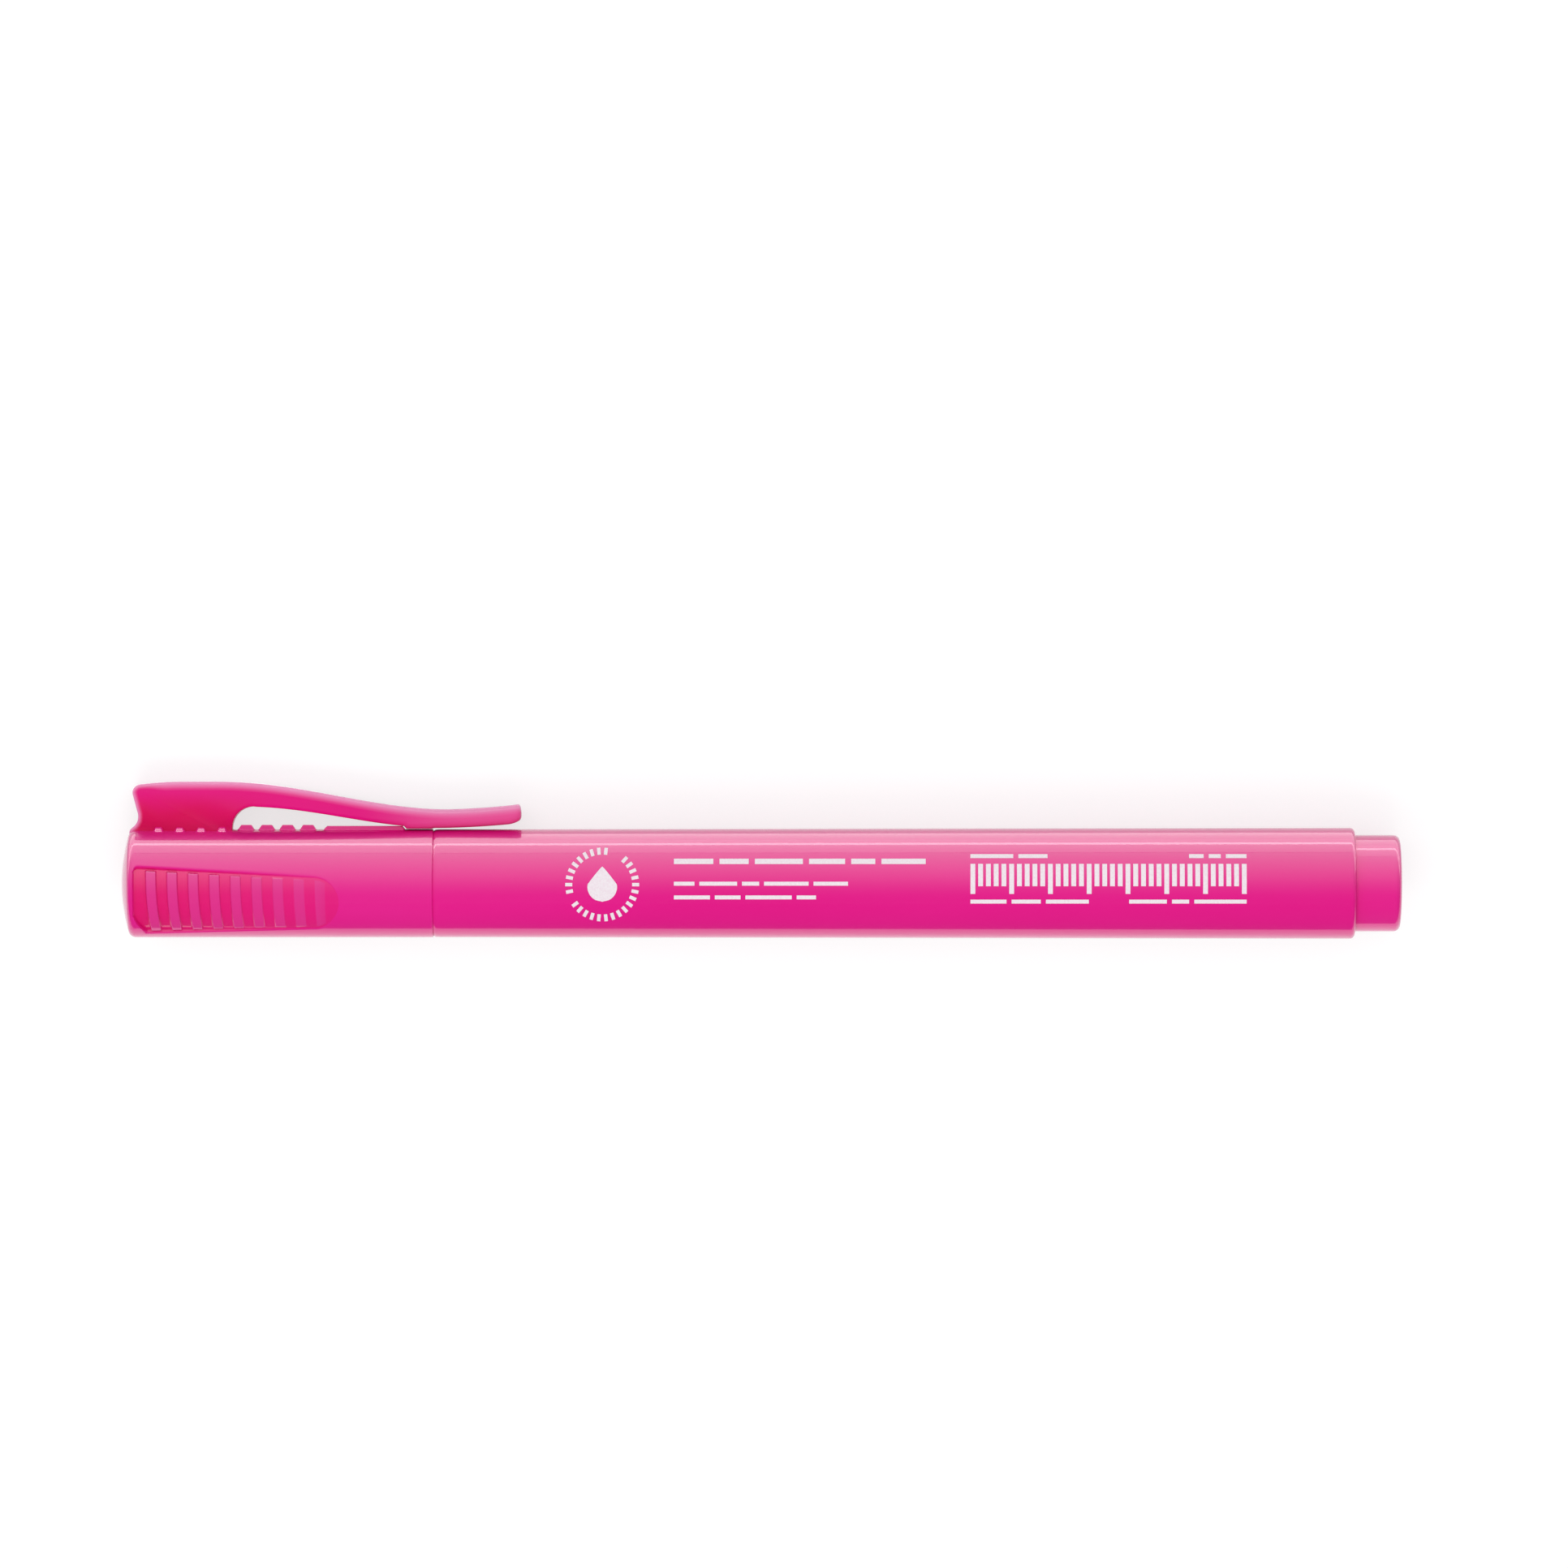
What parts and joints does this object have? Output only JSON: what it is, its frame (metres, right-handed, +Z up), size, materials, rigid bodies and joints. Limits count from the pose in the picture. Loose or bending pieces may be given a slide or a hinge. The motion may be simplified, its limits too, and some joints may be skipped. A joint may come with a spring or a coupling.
{
  "type": "highlighter pen",
  "caption": "Slim round highlighter with a chisel fibre nib, a pull-off cap with ribbed finger scoops and a sprung pocket clip, and a stepped tail post.",
  "frame": {"origin": "under the middle of the pen's box, on the surface that it lies on", "axes": "+X along the pen from the cap to the tail, +Y to the clip's side, +Z up from the surface"},
  "size_m": [0.1498, 0.0182, 0.013],
  "materials": {
    "barrel_plastic": "smooth moulded, glossy, faintly translucent",
    "section_plastic": "smooth moulded, glossy",
    "plug_plastic": "smooth moulded, glossy",
    "cap_plastic": "smooth moulded, glossy",
    "liner_plastic": "smooth moulded, satin",
    "nib_fibre": "bonded fibre soaked in ink",
    "reservoir_fibre": "bundled fibre soaked in ink",
    "wrap_film": "thin film",
    "print_ink": "thin pad-printed ink"
  },
  "bodies": {
    "pen": {"barrel": "barrel_plastic", "grip_section": "section_plastic", "nib": "nib_fibre", "ink_reservoir": "reservoir_fibre", "reservoir_wrap": "wrap_film", "tail_plug": "plug_plastic"},
    "cap_liner": {"inner_cap": "liner_plastic"},
    "cap": {"cap_shell": "cap_plastic"},
    "clip": {"clip_arm": "cap_plastic"}
  },
  "joints": [
    {"name": "cap_pull", "type": "slide", "parent": "pen", "child": "cap_liner", "axis": [-1, 0, 0], "range_m": [0, 0.045]},
    {"name": "cap_turn", "type": "hinge", "parent": "cap_liner", "child": "cap", "pos_m": [-0.06492, -0.00259, 0.00651], "axis": [1, 0, 0], "continuous": true},
    {"name": "clip_flex", "type": "hinge", "parent": "cap", "child": "clip", "pos_m": [-0.06089, 0.00833, 0.00197], "axis": [0, 0.3841, 0.9233], "range_deg": [0, 5], "stiffness_Nm_per_rad": 0.8}
  ]
}
